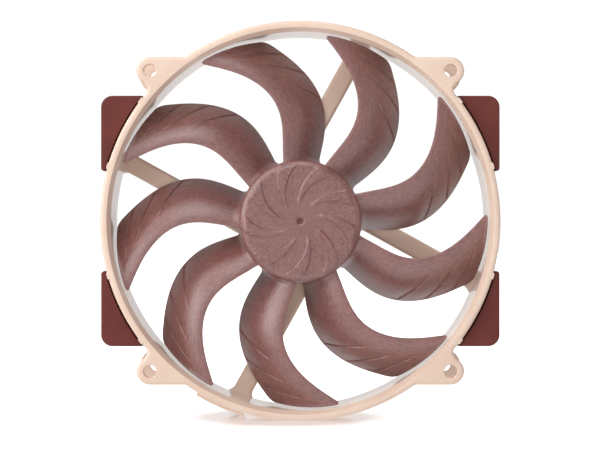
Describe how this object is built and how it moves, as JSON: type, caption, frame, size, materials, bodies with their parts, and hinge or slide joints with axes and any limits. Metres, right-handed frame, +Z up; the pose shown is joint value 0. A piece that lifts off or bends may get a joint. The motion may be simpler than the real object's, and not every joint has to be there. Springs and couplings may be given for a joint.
{
  "type": "case fan",
  "caption": "Round-frame axial case fan with swept blades on a round hub, screw ears on both flanges, soft side pads and an outer-rotor motor.",
  "frame": {"origin": "centre of the rear mounting face, on the fan's axis", "axes": "+Y out of the rear (outlet) face along the fan's axis, -Y out of the front (intake) face, +Z up as the fan stands, +X to the right seen from the front"},
  "size_m": [0.14, 0.025, 0.14],
  "materials": {
    "frame": "satin, glass-fibre filled, moulded in one piece, glossy inside the duct",
    "side_pad": "soft silicone rubber, matte",
    "grommet": "soft silicone rubber, matte",
    "label": "brushed foil disc, blank",
    "brass": "turned",
    "bronze": "sintered, oily",
    "ivory_plastic": "moulded nylon",
    "black_rubber": "soft",
    "magnet": "plastic-bonded ferrite",
    "lamination": "stacked electrical steel",
    "steel": "deep drawn",
    "polished_steel": "ground and polished",
    "copper": "enamelled copper wire",
    "board": "solder mask over glass fibre",
    "chip": "moulded epoxy",
    "ceramic": "fired, with tinned ends",
    "impeller": "liquid-crystal polymer, semi-matte, with flow streaks"
  },
  "bodies": {
    "housing": {"frame": "frame", "pad_upper_left": "side_pad", "pad_upper_right": "side_pad", "pad_lower_left": "side_pad", "pad_lower_right": "side_pad", "cable_grommet": "grommet", "rear_label": "label", "bearing_shell": "brass", "bearing_sleeve": "bronze", "thrust_pad": "ivory_plastic", "oil_seal": "black_rubber", "axial_magnet": "magnet", "stator_core": "lamination", "insulator_front": "ivory_plastic", "insulator_rear": "ivory_plastic", "coil_1": "copper", "coil_2": "copper", "coil_3": "copper", "coil_4": "copper", "winding_pins": "brass", "circuit_board": "board", "driver_chip": "chip", "hall_sensor": "chip", "board_capacitors": "ceramic"},
    "rotor": {"impeller": "impeller", "rotor_cup": "steel", "rotor_magnet": "magnet", "shaft": "polished_steel", "shaft_bushing": "brass", "retaining_ring": "ivory_plastic"}
  },
  "joints": [
    {"name": "rotor_spin", "type": "hinge", "parent": "housing", "child": "rotor", "pos_m": [0, -0.0125, 0], "axis": [0, -1, 0], "continuous": true}
  ]
}
